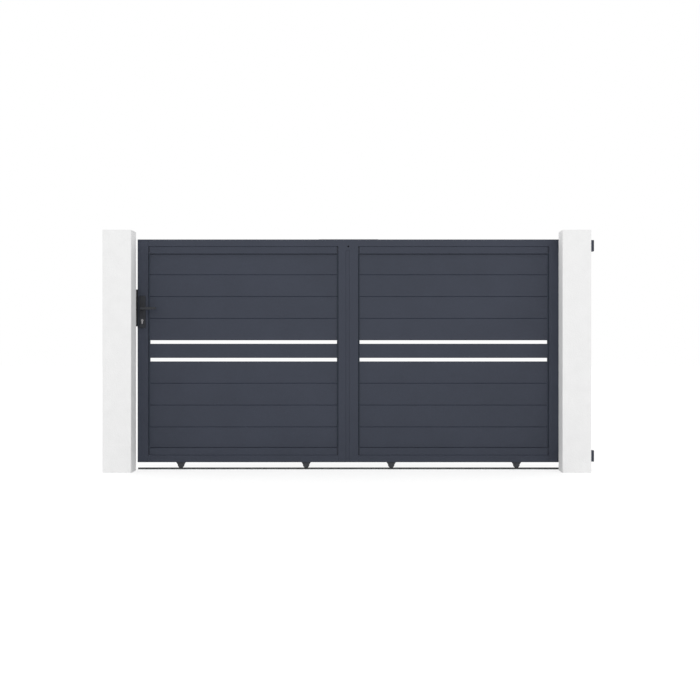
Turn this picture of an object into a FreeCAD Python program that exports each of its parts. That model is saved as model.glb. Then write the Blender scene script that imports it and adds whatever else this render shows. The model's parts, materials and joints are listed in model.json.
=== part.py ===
import FreeCAD, Part
import math
import os

from FreeCAD import Vector

# Sliding driveway gate: a two-bay boarded aluminium leaf that rolls on a floor rail behind two
# rendered masonry pillars. Millimetres. The origin is the middle of the left pillar's base,
# +X runs along the gate to the side it opens to, -Y faces the street and +Z is up.

# Pillars and the passage between them
passage = 3000.0
pillar_side = 200.0
pillar_rise = 49.0
pillar_chamfer = 3.0

# Leaf as a whole: beside the left pillar's inner face, and hidden at its end by the right pillar
leaf_start_gap = 2.0
leaf_hidden_end = 15.0
leaf_height = 1590.0
leaf_depth = 50.0
pillar_gap = 47.0
underside_gap = 39.5

# Frame tubes, and the slotted neck on each upright that takes the board ends
stile_tube_width = 76.0
mullion_left_tube_width = 53.0
mullion_right_tube_width = 62.0
tube_wall = 2.0
plug_flange = 2.0
plug_length = 14.0
plug_play = 0.2
neck_width = 10.0
neck_depth = 28.0
outer_rail_height = 50.0
bead_height = 52.5
bead_setback = 2.0
tube_edge = 1.25
bead_chamfer = 2.5

# Joint between the two bay frames
strip_width = 27.0
strip_setback = 3.0
strip_offset = -7.5
joint_block_height = 76.0
joint_screw_radius = 6.0
joint_screw_side = 5.0
joint_screw_depth = 6.0
strap_length = 422.0
strap_thickness = 1.0

# Hollow tongue-and-groove boards
boards_per_panel = 4
board_thickness = 22.0
board_wall = 1.6
board_chamfer = 3.0
board_cells = 3
edge_board_trim = 7.5
tongue_width = 8.0
tongue_height = 8.0
tongue_play = 0.3
board_end_play = 1.0
centre_board_height = 101.0
slit_height = 25.0

# Guide tail: two free tubes behind the right pillar
tail_length = 245.0
tail_tube_height = 80.0
tail_edge_inset = 4.0
tail_cap_thickness = 4.0
tail_plug_length = 20.0
tail_plug_play = 0.3

# Floor rail with a round bead
rail_height = 14.0
rail_base_width = 40.0
rail_base_thickness = 3.0
rail_bead_radius = 6.0

# Roller carriages, let into the bottom rails, and their grooved wheels
carriage_middle_offset = 304.0
carriage_end_offset = 307.5
carriage_width = 68.0
carriage_plate = 3.0
carriage_nose_radius = 18.0
carriage_slot_play = 1.0
wheel_radius = 23.0
wheel_groove_depth = 5.0
wheel_width = 18.0
wheel_side_play = 1.0
rail_play = 0.3
axle_radius = 5.0
axle_play = 0.1
axle_nut_flats = 16.0
axle_nut_height = 5.0

# Lock, its keeper on the left pillar, and the lever handles; heights are from the ground
lock_backset = 35.0
lever_height = 1150.5
lock_centres = 85.0
escutcheon_width = 46.0
escutcheon_above_lever = 90.5
escutcheon_below_cylinder = 53.5
escutcheon_thickness = 8.0
escutcheon_corner_radius = 6.0
escutcheon_edge = 1.5
cylinder_radius = 8.5
cylinder_total_height = 33.0
cylinder_tail_width = 10.0
cylinder_proud = 3.0
cylinder_play = 0.3
keyway_width = 2.0
keyway_height = 9.0
keyway_depth = 12.0
faceplate_width = 24.0
faceplate_margin = 3.0
faceplate_thickness = 3.0
case_width = 50.0
case_thickness = 16.0
case_inset = 24.5
case_play = 0.5
hook_slot_width = 8.0
hook_slot_length = 34.0
hook_slot_depth = 5.0
hub_radius = 9.0
hub_play = 0.1
stile_hole_play = 2.0
lever_reach = 107.0
lever_bar_height = 20.0
lever_tip_height = 17.0
lever_bar_depth = 12.0
lever_projection = 63.0
lever_edge = 2.5
spindle_side = 8.0
spindle_play = 0.1
spindle_engagement = 32.0
keeper_above_lever = 135.5
keeper_below_cylinder = 41.5
keeper_plate = 4.0
keeper_end_gap = 12.0
keeper_side_gap = 7.0
keeper_cheek_overlap = 3.0
keeper_foot_length = 56.0
keeper_slot_margin = 8.0

# Upper guide behind the right pillar
guide_plate = 6.0
guide_width = 140.0
guide_leg_height = 105.0
guide_headroom = 16.0
guide_overhang = 18.0
guide_roller_radius = 17.0
guide_roller_length = 50.0
guide_roller_play = 2.0
guide_roller_drop = 26.0
guide_bolt_radius = 6.0
guide_bolt_play = 0.2
guide_bolt_head_flats = 18.0
guide_bolt_head_height = 7.0

# Places that follow from the sizes above
pillar_half = pillar_side / 2
right_pillar_x = passage + pillar_side
leaf_x0 = pillar_half + leaf_start_gap
leaf_x1 = pillar_half + passage + leaf_hidden_end
leaf_middle_x = (leaf_x0 + leaf_x1) / 2
leaf_y0 = pillar_half + pillar_gap
leaf_y1 = leaf_y0 + leaf_depth
leaf_y = (leaf_y0 + leaf_y1) / 2
leaf_z0 = rail_height + underside_gap
leaf_z1 = leaf_z0 + leaf_height
pillar_height = leaf_z1 + pillar_rise
inner_z0 = leaf_z0 + outer_rail_height
inner_z1 = leaf_z1 - outer_rail_height
panel_z0 = inner_z0 + bead_height
panel_z1 = inner_z1 - bead_height
strip_x0 = leaf_middle_x + strip_offset - strip_width / 2
strip_x1 = strip_x0 + strip_width
panel_height = (panel_z1 - panel_z0 - centre_board_height) / 2 - slit_height
board_pitch = (panel_height + edge_board_trim) / boards_per_panel
neck_slot = board_thickness + 2 * tongue_play
rail_bead_z = rail_height - rail_bead_radius
axle_z = rail_bead_z + rail_bead_radius * math.sqrt(2) + rail_play + wheel_radius - wheel_groove_depth
lock_x = leaf_x0 + lock_backset
cylinder_height = lever_height - lock_centres
hook_height = (lever_height + cylinder_height) / 2
escutcheon_z0 = cylinder_height - escutcheon_below_cylinder
escutcheon_z1 = lever_height + escutcheon_above_lever
escutcheon_front_y = leaf_y0 - escutcheon_thickness


def box(x0, x1, y0, y1, z0, z1):
    return Part.makeBox(x1 - x0, y1 - y0, z1 - z0, Vector(x0, y0, z0))


def cylinder(radius, start, end):
    axis = end - start
    return Part.makeCylinder(radius, axis.Length, start, axis)


def prism(points, along):
    face = Part.Face(Part.makePolygon(points + points[:1]))
    return face.extrude(along)


def hexagon(across_flats, start, end, side):
    """Six-sided nut from start to end; side is a direction square to that."""
    along = end - start
    first = Vector(side).normalize() * (across_flats / math.sqrt(3))
    across = along.cross(first).normalize() * first.Length
    corners = []
    for number in range(6):
        angle = number * math.pi / 3
        corners.append(start + first * math.cos(angle) + across * math.sin(angle))
    return prism(corners, along)


def chamfered_rectangle(y0, y1, z0, z1, chamfer):
    """Corner points of a Y-Z rectangle whose two front and two back corners are cut."""
    return [
        (y0, z0 + chamfer), (y0 + chamfer, z0), (y1 - chamfer, z0), (y1, z0 + chamfer),
        (y1, z1 - chamfer), (y1 - chamfer, z1), (y0 + chamfer, z1), (y0, z1 - chamfer),
    ]


def save(node, solids):
    shape = solids[0] if len(solids) == 1 else Part.makeCompound(solids)
    shape.exportStep(os.path.join("parts", node + ".step"))


def mirror_in_leaf(shape):
    """The same piece on the other face of the leaf."""
    return shape.mirror(Vector(0, leaf_y, 0), Vector(0, 1, 0))


def pillar(middle_x):
    body = box(middle_x - pillar_half, middle_x + pillar_half, -pillar_half, pillar_half,
               0, pillar_height)
    edges = [edge for edge in body.Edges if edge.BoundBox.ZMax > pillar_height / 2]
    return body.makeChamfer(pillar_chamfer, edges)


def floor_rail():
    start_x = leaf_x0
    end_x = right_pillar_x + pillar_half
    base = box(start_x, end_x, leaf_y - rail_base_width / 2, leaf_y + rail_base_width / 2,
               0, rail_base_thickness)
    bead = cylinder(rail_bead_radius, Vector(start_x, leaf_y, rail_bead_z),
                    Vector(end_x, leaf_y, rail_bead_z))
    foot = box(start_x, end_x, leaf_y - rail_bead_radius / 2, leaf_y + rail_bead_radius / 2,
               0, rail_bead_z)
    return base.fuse([bead, foot]).common(box(start_x, end_x, leaf_y - rail_base_width,
                                              leaf_y + rail_base_width, 0, rail_height))


def upright(tube_x0, tube_x1, top_z, neck_side):
    """Upright tube on its plug, closed above, with the board neck on one side."""
    z0 = leaf_z0 + plug_flange
    body = box(tube_x0, tube_x1, leaf_y0, leaf_y1, z0, top_z)
    body = body.makeChamfer(tube_edge, [
        edge for edge in body.Edges
        if edge.BoundBox.ZLength > leaf_height / 2])
    hollow = box(tube_x0 + tube_wall, tube_x1 - tube_wall, leaf_y0 + tube_wall, leaf_y1 - tube_wall,
                 z0, top_z - tube_wall)
    if neck_side > 0:
        neck_x0, neck_x1 = tube_x1, tube_x1 + neck_width
    else:
        neck_x0, neck_x1 = tube_x0 - neck_width, tube_x0
    lips = []
    lip_depth = (neck_depth - neck_slot) / 2
    for lip_y0 in (leaf_y - neck_depth / 2, leaf_y + neck_slot / 2):
        lips.append(box(neck_x0, neck_x1, lip_y0, lip_y0 + lip_depth, inner_z0, inner_z1))
    return body.cut(hollow).fuse(lips)


def tube_plug(x0, x1, y0, y1):
    """Moulded plug that closes an upright's foot: a flange under the tube and a hollow spigot in it."""
    inset = tube_wall + plug_play
    top_z = leaf_z0 + plug_flange
    flange = box(x0, x1, y0, y1, leaf_z0, top_z)
    flange = flange.makeChamfer(tube_edge, [
        edge for edge in flange.Edges if edge.BoundBox.ZLength > plug_flange / 2])
    spigot = box(x0 + inset, x1 - inset, y0 + inset, y1 - inset, top_z, top_z + plug_length)
    core = box(x0 + 2 * inset, x1 - 2 * inset, y0 + 2 * inset, y1 - 2 * inset,
               top_z, top_z + plug_length)
    return flange.fuse(spigot.cut(core))


def outer_rail(x0, x1, z0, z1):
    tube = box(x0, x1, leaf_y0, leaf_y1, z0, z1)
    tube = tube.makeChamfer(tube_edge, [
        edge for edge in tube.Edges if edge.BoundBox.XLength > (x1 - x0) / 2])
    return tube.cut(box(x0, x1, leaf_y0 + tube_wall, leaf_y1 - tube_wall,
                        z0 + tube_wall, z1 - tube_wall))


def bead(x0, x1, z0, z1, groove_below):
    """Inner band of a bay: a tube with a groove for the boards' tongue, or a tongue for their groove."""
    y0 = leaf_y0 + bead_setback
    y1 = leaf_y1 - bead_setback
    outline = [Vector(x0, y, z) for y, z in chamfered_rectangle(y0, y1, z0, z1, bead_chamfer)]
    body = prism(outline, Vector(x1 - x0, 0, 0))
    groove_half = tongue_width / 2 + tongue_play
    groove_depth = tongue_height + 2 * tongue_play
    cell = box(x0, x1, y0 + tube_wall, y1 - tube_wall,
               z0 + groove_depth + tube_wall if groove_below else z0 + tube_wall + bead_chamfer / 2,
               z1 - tube_wall - bead_chamfer / 2)
    body = body.cut(cell)
    if groove_below:
        return body.cut(box(x0, x1, leaf_y - groove_half, leaf_y + groove_half,
                            z0, z0 + groove_depth))
    return body.fuse(box(x0, x1, leaf_y - tongue_width / 2, leaf_y + tongue_width / 2,
                         z1 - tube_wall, z1 + tongue_height))


def board(x0, x1, z0, height, has_tongue, has_groove):
    """One hollow board: tongue on its top edge, groove in its lower one, cut corners on both faces."""
    half = board_thickness / 2
    groove_half = tongue_width / 2 + tongue_play
    groove_depth = tongue_height + 2 * tongue_play
    z1 = z0 + height
    outline = chamfered_rectangle(leaf_y - half, leaf_y + half, z0, z1, board_chamfer)
    body = prism([Vector(x0, y, z) for y, z in outline], Vector(x1 - x0, 0, 0))
    if has_tongue:
        body = body.fuse(box(x0, x1, leaf_y - tongue_width / 2, leaf_y + tongue_width / 2,
                             z1 - board_chamfer, z1 + tongue_height))
    cells_z0 = z0 + board_chamfer + board_wall / 2
    if has_groove:
        body = body.cut(box(x0, x1, leaf_y - groove_half, leaf_y + groove_half,
                            z0, z0 + groove_depth))
        cells_z0 = z0 + groove_depth + board_wall
    cells_z1 = z1 - board_chamfer - board_wall / 2
    cell_pitch = (cells_z1 - cells_z0 + board_wall) / board_cells
    cells = []
    for number in range(board_cells):
        cell_z0 = cells_z0 + number * cell_pitch
        cells.append(box(x0, x1, leaf_y - half + board_wall, leaf_y + half - board_wall,
                         cell_z0, cell_z0 + cell_pitch - board_wall))
    return body.cut(cells)


def panel(x0, x1, z0, above_slit):
    """Boards of a bay between a slit and a bead: plain at the slit, cut narrower at the bead."""
    boards = []
    for number in range(boards_per_panel):
        is_lowest = number == 0
        is_highest = number == boards_per_panel - 1
        is_cut = is_highest if above_slit else is_lowest
        pitch = board_pitch - edge_board_trim if is_cut else board_pitch
        boards.append(board(x0, x1, z0 + tongue_play / 2, pitch - tongue_play,
                            has_tongue=above_slit or not is_highest,
                            has_groove=not above_slit or not is_lowest))
        z0 += pitch
    return boards


def tail_tube(z0):
    x0 = leaf_x1
    x1 = leaf_x1 + tail_length - tail_cap_thickness
    outer = box(x0, x1, leaf_y0, leaf_y1, z0, z0 + tail_tube_height)
    outer = outer.makeChamfer(tube_edge, [
        edge for edge in outer.Edges if edge.BoundBox.XLength > (x1 - x0) / 2])
    return outer.cut(box(x0, x1, leaf_y0 + tube_wall, leaf_y1 - tube_wall,
                         z0 + tube_wall, z0 + tail_tube_height - tube_wall))


def tail_cap(z0):
    x1 = leaf_x1 + tail_length
    x0 = x1 - tail_cap_thickness
    inset = tube_wall + tail_plug_play
    flange = box(x0, x1, leaf_y0, leaf_y1, z0, z0 + tail_tube_height)
    flange = flange.makeChamfer(tube_edge, [
        edge for edge in flange.Edges if edge.BoundBox.XMin > x0 + tail_cap_thickness / 2
        or edge.BoundBox.XLength > tail_cap_thickness / 2])
    plug = box(x0 - tail_plug_length, x0, leaf_y0 + inset, leaf_y1 - inset,
               z0 + inset, z0 + tail_tube_height - inset)
    core = box(x0 - tail_plug_length, x0, leaf_y0 + 2 * inset, leaf_y1 - 2 * inset,
               z0 + 2 * inset, z0 + tail_tube_height - 2 * inset)
    return flange.fuse(plug.cut(core))


def carriage_slot(middle_x):
    half_x = carriage_width / 2 + carriage_slot_play
    half_y = wheel_width / 2 + wheel_side_play + carriage_plate + carriage_slot_play
    return box(middle_x - half_x, middle_x + half_x, leaf_y - half_y, leaf_y + half_y,
               leaf_z0 - tube_wall, leaf_z0 + 2 * tube_wall)


def carriage_cheek(middle_x, y0):
    """Side plate: square inside the rail, tapering below it to a round nose about the axle."""
    half = carriage_width / 2
    top_z = inner_z0 - tube_wall
    shoulder_rise = leaf_z0 - axle_z
    reach = math.hypot(half, shoulder_rise)
    tangent = math.atan2(shoulder_rise, half) - math.acos(carriage_nose_radius / reach)
    nose_x = carriage_nose_radius * math.cos(tangent)
    nose_z = axle_z + carriage_nose_radius * math.sin(tangent)
    right_side = [Vector(middle_x + nose_x, y0, nose_z), Vector(middle_x + half, y0, leaf_z0),
                  Vector(middle_x + half, y0, top_z)]
    left_side = [Vector(middle_x - half, y0, top_z), Vector(middle_x - half, y0, leaf_z0),
                 Vector(middle_x - nose_x, y0, nose_z)]
    sides = Part.makePolygon(right_side + left_side)
    nose = Part.Arc(left_side[-1], Vector(middle_x, y0, axle_z - carriage_nose_radius),
                    right_side[0]).toShape()
    return Part.Face(Part.Wire(sides.Edges + [nose])).extrude(Vector(0, carriage_plate, 0))


def carriage(middle_x):
    """Inverted steel channel with its fixed axle; its top plate bears under the rail's upper wall."""
    gap_half = wheel_width / 2 + wheel_side_play
    cheek_outer = gap_half + carriage_plate
    front = carriage_cheek(middle_x, leaf_y - cheek_outer)
    back = carriage_cheek(middle_x, leaf_y + gap_half)
    half = carriage_width / 2
    top_z = inner_z0 - tube_wall
    crown = box(middle_x - half, middle_x + half, leaf_y - cheek_outer, leaf_y + cheek_outer,
                top_z - carriage_plate, top_z)
    axle = cylinder(axle_radius, Vector(middle_x, leaf_y - cheek_outer, axle_z),
                    Vector(middle_x, leaf_y + cheek_outer, axle_z))
    nuts = [hexagon(axle_nut_flats, Vector(middle_x, leaf_y + side * cheek_outer, axle_z),
                    Vector(middle_x, leaf_y + side * (cheek_outer + axle_nut_height), axle_z),
                    Vector(0, 0, 1))
            for side in (-1, 1)]
    return front.fuse([back, crown, axle] + nuts)


def wheel(middle_x):
    """Wheel turned about its axle; its right-angled groove straddles the rail's bead with a small play."""
    half = wheel_width / 2
    bore = axle_radius + axle_play

    def at(radius, side):
        return Vector(middle_x, leaf_y + side, axle_z + radius)

    groove = at(wheel_radius - wheel_groove_depth, 0)
    profile = Part.Face(Part.makePolygon([
        groove, at(wheel_radius, wheel_groove_depth), at(wheel_radius, half), at(bore, half),
        at(bore, -half), at(wheel_radius, -half), at(wheel_radius, -wheel_groove_depth), groove]))
    return profile.revolve(Vector(middle_x, leaf_y, axle_z), Vector(0, 1, 0), 360)


def cylinder_profile(y0, y1, play):
    """Profile lock cylinder: a round barrel above a narrow round-ended tail."""
    tail_half = cylinder_tail_width / 2 + play
    tail_z = cylinder_height + cylinder_radius - cylinder_total_height + cylinder_tail_width / 2
    barrel = cylinder(cylinder_radius + play, Vector(lock_x, y0, cylinder_height),
                      Vector(lock_x, y1, cylinder_height))
    tail = box(lock_x - tail_half, lock_x + tail_half, y0, y1, tail_z, cylinder_height)
    end = cylinder(tail_half, Vector(lock_x, y0, tail_z), Vector(lock_x, y1, tail_z))
    return barrel.fuse([tail, end])


def lock_cylinder():
    y0 = escutcheon_front_y - cylinder_proud
    y1 = 2 * leaf_y - y0
    body = cylinder_profile(y0, y1, 0)
    half_z = keyway_height / 2
    keyways = [box(lock_x - keyway_width / 2, lock_x + keyway_width / 2, side_y0,
                   side_y0 + keyway_depth, cylinder_height - half_z, cylinder_height + half_z)
               for side_y0 in (y0, y1 - keyway_depth)]
    return body.cut(keyways)


def rounded_plate(x0, x1, y0, y1, z0, z1, radius):
    body = box(x0, x1, y0, y1, z0, z1)
    return body.makeFillet(radius, [
        edge for edge in body.Edges
        if edge.BoundBox.XLength < radius and edge.BoundBox.ZLength < radius])


def escutcheon_front():
    half = escutcheon_width / 2
    body = rounded_plate(lock_x - half, lock_x + half, escutcheon_front_y, leaf_y0,
                         escutcheon_z0, escutcheon_z1, escutcheon_corner_radius)
    front_edges = [edge for edge in body.Edges
                   if edge.BoundBox.YMax < escutcheon_front_y + escutcheon_edge / 2]
    body = body.makeChamfer(escutcheon_edge, front_edges)
    hub = cylinder(hub_radius + hub_play, Vector(lock_x, escutcheon_front_y, lever_height),
                   Vector(lock_x, leaf_y0, lever_height))
    return body.cut([hub, cylinder_profile(escutcheon_front_y, leaf_y0, cylinder_play)])


def lock_case():
    """Faceplate on the stile's edge with the lock's case behind it, inside the stile."""
    plate = box(leaf_x0 - faceplate_thickness, leaf_x0, leaf_y - faceplate_width / 2,
                leaf_y + faceplate_width / 2, escutcheon_z0 - faceplate_margin,
                escutcheon_z1 + faceplate_margin)
    case_x1 = lock_x + case_width / 2 - escutcheon_edge
    case = box(leaf_x0, case_x1, leaf_y - case_thickness / 2, leaf_y + case_thickness / 2,
               escutcheon_z0 + case_inset, escutcheon_z1 - case_inset)
    follower = cylinder(spindle_side, Vector(lock_x, leaf_y - case_thickness, lever_height),
                        Vector(lock_x, leaf_y + case_thickness, lever_height))
    hook_x0 = leaf_x0 - faceplate_thickness
    hook_slot = box(hook_x0, hook_x0 + hook_slot_depth, leaf_y - hook_slot_width / 2,
                    leaf_y + hook_slot_width / 2, hook_height - hook_slot_length / 2,
                    hook_height + hook_slot_length / 2)
    barrel = cylinder_profile(leaf_y - case_thickness, leaf_y + case_thickness, cylinder_play)
    return plate.fuse(case).cut([follower, hook_slot, barrel])


def latch_stile():
    """The left stile with the lock's square cut-outs in its edge and, under the plates, both faces."""
    body = upright(leaf_x0, leaf_x0 + stile_tube_width, leaf_z1, 1)
    half_y = case_thickness / 2 + case_play
    slot_inset = case_inset - case_play
    edge_slot = box(leaf_x0, leaf_x0 + 2 * tube_wall, leaf_y - half_y, leaf_y + half_y,
                    escutcheon_z0 + slot_inset, escutcheon_z1 - slot_inset)
    spindle_half = hub_radius + stile_hole_play
    spindle_hole = box(lock_x - spindle_half, lock_x + spindle_half, leaf_y0, leaf_y1,
                       lever_height - spindle_half, lever_height + spindle_half)
    cylinder_half = cylinder_radius + stile_hole_play
    cylinder_top_z = cylinder_height + cylinder_radius
    cylinder_hole = box(lock_x - cylinder_half, lock_x + cylinder_half, leaf_y0, leaf_y1,
                        cylinder_top_z - cylinder_total_height - stile_hole_play,
                        cylinder_top_z + stile_hole_play)
    return body.cut([edge_slot, spindle_hole, cylinder_hole])


def lever_front():
    """Cranked lever: round hub on the spindle and a flat tapering grip with a round end."""
    bar_y0 = leaf_y0 - lever_projection
    bar_y1 = bar_y0 + lever_bar_depth
    half = lever_bar_height / 2
    tip_half = lever_tip_height / 2
    tip_x = lock_x + lever_reach - tip_half
    top = [Vector(lock_x, bar_y0, lever_height + half), Vector(tip_x, bar_y0, lever_height + tip_half)]
    bottom = [Vector(tip_x, bar_y0, lever_height - tip_half), Vector(lock_x, bar_y0, lever_height - half)]
    tip = Part.Arc(top[1], Vector(tip_x + tip_half, bar_y0, lever_height), bottom[0]).toShape()
    butt = Part.Arc(bottom[1], Vector(lock_x - half, bar_y0, lever_height), top[0]).toShape()
    outline = Part.Wire([Part.makeLine(*top), tip, Part.makeLine(*bottom), butt])
    grip = Part.Face(outline).extrude(Vector(0, lever_bar_depth, 0))
    grip = grip.makeChamfer(lever_edge, [
        edge for edge in grip.Edges if edge.BoundBox.YMax < bar_y0 + lever_bar_depth / 2])
    hub = cylinder(hub_radius, Vector(lock_x, bar_y1 - lever_edge, lever_height),
                   Vector(lock_x, leaf_y0 - hub_play, lever_height))
    half_socket = spindle_side / 2 + spindle_play
    socket = box(lock_x - half_socket, lock_x + half_socket, leaf_y0 - spindle_engagement,
                 leaf_y0, lever_height - half_socket, lever_height + half_socket)
    return grip.fuse(hub).cut(socket)


def lever_spindle():
    half = spindle_side / 2
    reach = spindle_engagement - spindle_play
    return box(lock_x - half, lock_x + half, leaf_y0 - reach, leaf_y1 + reach,
               lever_height - half, lever_height + half)


def lock_keeper():
    """Bent channel on the pillar's back that the leaf's edge runs into, slotted for the hook."""
    web_x1 = leaf_x0 - keeper_end_gap
    web_x0 = web_x1 - keeper_plate
    cheek_x1 = leaf_x0 + keeper_cheek_overlap
    front_y1 = leaf_y0 - keeper_side_gap
    back_y0 = leaf_y1 + keeper_side_gap
    back_y1 = back_y0 + keeper_plate
    z0 = cylinder_height - keeper_below_cylinder
    z1 = lever_height + keeper_above_lever
    foot = box(web_x1 - keeper_foot_length, web_x1, pillar_half, pillar_half + keeper_plate, z0, z1)
    web = box(web_x0, web_x1, pillar_half, back_y1, z0, z1)
    cheeks = [box(web_x0, cheek_x1, y0, y0 + keeper_plate, z0, z1)
              for y0 in (front_y1 - keeper_plate, back_y0)]
    body = foot.fuse([web] + cheeks)
    half_z = hook_slot_length / 2 + keeper_slot_margin
    half_y = hook_slot_width / 2 + keeper_slot_margin / 2
    return body.cut(box(web_x0, web_x1, leaf_y - half_y, leaf_y + half_y,
                        hook_height - half_z, hook_height + half_z))


def guide_roller_places():
    offset = guide_roller_play + guide_roller_radius
    return [Vector(right_pillar_x, leaf_y0 - offset, 0), Vector(right_pillar_x, leaf_y1 + offset, 0)]


def guide_bracket():
    """Angle on the pillar's back whose top plate spans the leaf and carries the guide rollers."""
    x0 = right_pillar_x - guide_width / 2
    x1 = right_pillar_x + guide_width / 2
    plate_z0 = leaf_z1 + strap_thickness + guide_headroom
    plate_z1 = plate_z0 + guide_plate
    far_y = leaf_y1 + guide_roller_play + 2 * guide_roller_radius + guide_overhang
    leg = box(x0, x1, pillar_half, pillar_half + guide_plate, plate_z1 - guide_leg_height, plate_z1)
    top = box(x0, x1, pillar_half, far_y, plate_z0, plate_z1)
    holes = [cylinder(guide_bolt_radius + guide_bolt_play, place + Vector(0, 0, plate_z0),
                      place + Vector(0, 0, plate_z1)) for place in guide_roller_places()]
    return leg.fuse(top).cut(holes)


def guide_roller_span():
    top_z = leaf_z1 + strap_thickness + guide_headroom - guide_roller_drop
    return top_z - guide_roller_length, top_z


def guide_roller(place):
    z0, z1 = guide_roller_span()
    body = cylinder(guide_roller_radius, place + Vector(0, 0, z0), place + Vector(0, 0, z1))
    return body.cut(cylinder(guide_bolt_radius + guide_bolt_play, place + Vector(0, 0, z0),
                             place + Vector(0, 0, z1)))


def guide_bolt(place):
    """Bolt through plate and roller with its head below the roller and a nut on the plate."""
    roller_z0, _ = guide_roller_span()
    plate_z1 = leaf_z1 + strap_thickness + guide_headroom + guide_plate
    head_z0 = roller_z0 - guide_bolt_head_height
    shank = cylinder(guide_bolt_radius, place + Vector(0, 0, head_z0),
                     place + Vector(0, 0, plate_z1 + guide_bolt_head_height))
    head = hexagon(guide_bolt_head_flats, place + Vector(0, 0, head_z0),
                   place + Vector(0, 0, roller_z0), Vector(1, 0, 0))
    nut = hexagon(guide_bolt_head_flats, place + Vector(0, 0, plate_z1),
                  place + Vector(0, 0, plate_z1 + guide_bolt_head_height), Vector(1, 0, 0))
    return shank.fuse([head, nut])


def build():
    os.makedirs("parts", exist_ok=True)

    save("left_pillar", [pillar(0)])
    save("right_pillar", [pillar(right_pillar_x)])
    save("floor_rail", [floor_rail()])
    save("lock_keeper", [lock_keeper()])
    save("guide_bracket", [guide_bracket()])
    save("guide_rollers", [guide_roller(place) for place in guide_roller_places()])
    save("guide_bolts", [guide_bolt(place) for place in guide_roller_places()])

    # Uprights of the leaf, from the lock to the tail
    left_bay_x0 = leaf_x0 + stile_tube_width
    left_bay_x1 = strip_x0 - mullion_left_tube_width
    right_bay_x0 = strip_x1 + mullion_right_tube_width
    right_bay_x1 = leaf_x1 - stile_tube_width
    save("latch_stile", [latch_stile()])
    block_z0 = leaf_z1 - joint_block_height
    save("mullion_left", [upright(left_bay_x1, strip_x0, block_z0, -1)])
    save("mullion_right", [upright(strip_x1, right_bay_x0, block_z0, 1)])
    save("tail_stile", [upright(right_bay_x1, leaf_x1, leaf_z1, -1)])
    strip_y0 = leaf_y0 + strip_setback
    strip_y1 = leaf_y1 - strip_setback
    save("tube_plugs", [tube_plug(x0, x1, y0, y1) for x0, x1, y0, y1 in (
        (leaf_x0, left_bay_x0, leaf_y0, leaf_y1), (left_bay_x1, strip_x0, leaf_y0, leaf_y1),
        (strip_x1, right_bay_x0, leaf_y0, leaf_y1), (right_bay_x1, leaf_x1, leaf_y0, leaf_y1))])

    # Joint of the two bay frames: a strip between the mullions and a head block over all three
    strip = box(strip_x0, strip_x1, strip_y0, strip_y1, leaf_z0, block_z0)
    strip_hollow = box(strip_x0 + tube_wall, strip_x1 - tube_wall,
                       strip_y0 + tube_wall, strip_y1 - tube_wall, leaf_z0, block_z0)
    save("joint_strip", [strip.cut(strip_hollow)])
    screw_x = (strip_x0 + strip_x1) / 2 + joint_screw_side
    screw_z = leaf_z1 - outer_rail_height
    screw_hole = cylinder(joint_screw_radius, Vector(screw_x, leaf_y0, screw_z),
                          Vector(screw_x, leaf_y0 + joint_screw_depth, screw_z))
    block = box(left_bay_x1, right_bay_x0, leaf_y0, leaf_y1, block_z0, leaf_z1)
    save("joint_block", [block.cut(screw_hole)])
    strap_x0 = leaf_middle_x - strap_length / 2
    save("top_strap", [box(strap_x0, strap_x0 + strap_length, leaf_y0, leaf_y1,
                           leaf_z1, leaf_z1 + strap_thickness)])

    # Roller places along the bottom rails
    roller_places = [leaf_x0 + carriage_end_offset, leaf_middle_x - carriage_middle_offset,
                     leaf_middle_x + carriage_middle_offset, leaf_x1 - carriage_end_offset]
    slots = [carriage_slot(place) for place in roller_places]

    # Rails, beads and boards of both bays
    centre_z0 = panel_z0 + panel_height + slit_height
    for side, x0, x1 in (("left", left_bay_x0, left_bay_x1), ("right", right_bay_x0, right_bay_x1)):
        save("top_rail_" + side, [outer_rail(x0, x1, inner_z1, leaf_z1)])
        save("bottom_rail_" + side, [outer_rail(x0, x1, leaf_z0, inner_z0).cut(slots)])
        bead_x0 = x0 + neck_width
        bead_x1 = x1 - neck_width
        save("top_bead_" + side, [bead(bead_x0, bead_x1, panel_z1, inner_z1, True)])
        save("bottom_bead_" + side, [bead(bead_x0, bead_x1, inner_z0, panel_z0, False)])
        board_x0 = x0 + board_end_play
        board_x1 = x1 - board_end_play
        save("lower_boards_" + side, panel(board_x0, board_x1, panel_z0, False))
        save("centre_board_" + side, [board(board_x0, board_x1, centre_z0, centre_board_height,
                                            False, False)])
        upper_z0 = centre_z0 + centre_board_height + slit_height
        save("upper_boards_" + side, panel(board_x0, board_x1, upper_z0, True))

    # Guide tail
    tail_places = {"lower": leaf_z0 + tail_edge_inset,
                   "upper": leaf_z1 - tail_edge_inset - tail_tube_height}
    for level, z0 in tail_places.items():
        save("tail_tube_" + level, [tail_tube(z0)])
    save("tail_caps", [tail_cap(z0) for z0 in tail_places.values()])

    # Lock and handles
    save("lock_case", [lock_case()])
    save("lock_cylinder", [lock_cylinder()])
    save("escutcheon_front", [escutcheon_front()])
    save("escutcheon_back", [mirror_in_leaf(escutcheon_front())])
    save("lever_front", [lever_front()])
    save("lever_back", [mirror_in_leaf(lever_front())])
    save("lever_spindle", [lever_spindle()])

    # Rollers
    for number, place in enumerate(roller_places, start=1):
        save("carriage_%d" % number, [carriage(place)])
        save("wheel_%d" % number, [wheel(place)])


build()
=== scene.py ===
"""Finishes, seals, fixings and stage of a boarded sliding driveway gate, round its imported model."""

import json
import math

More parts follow.
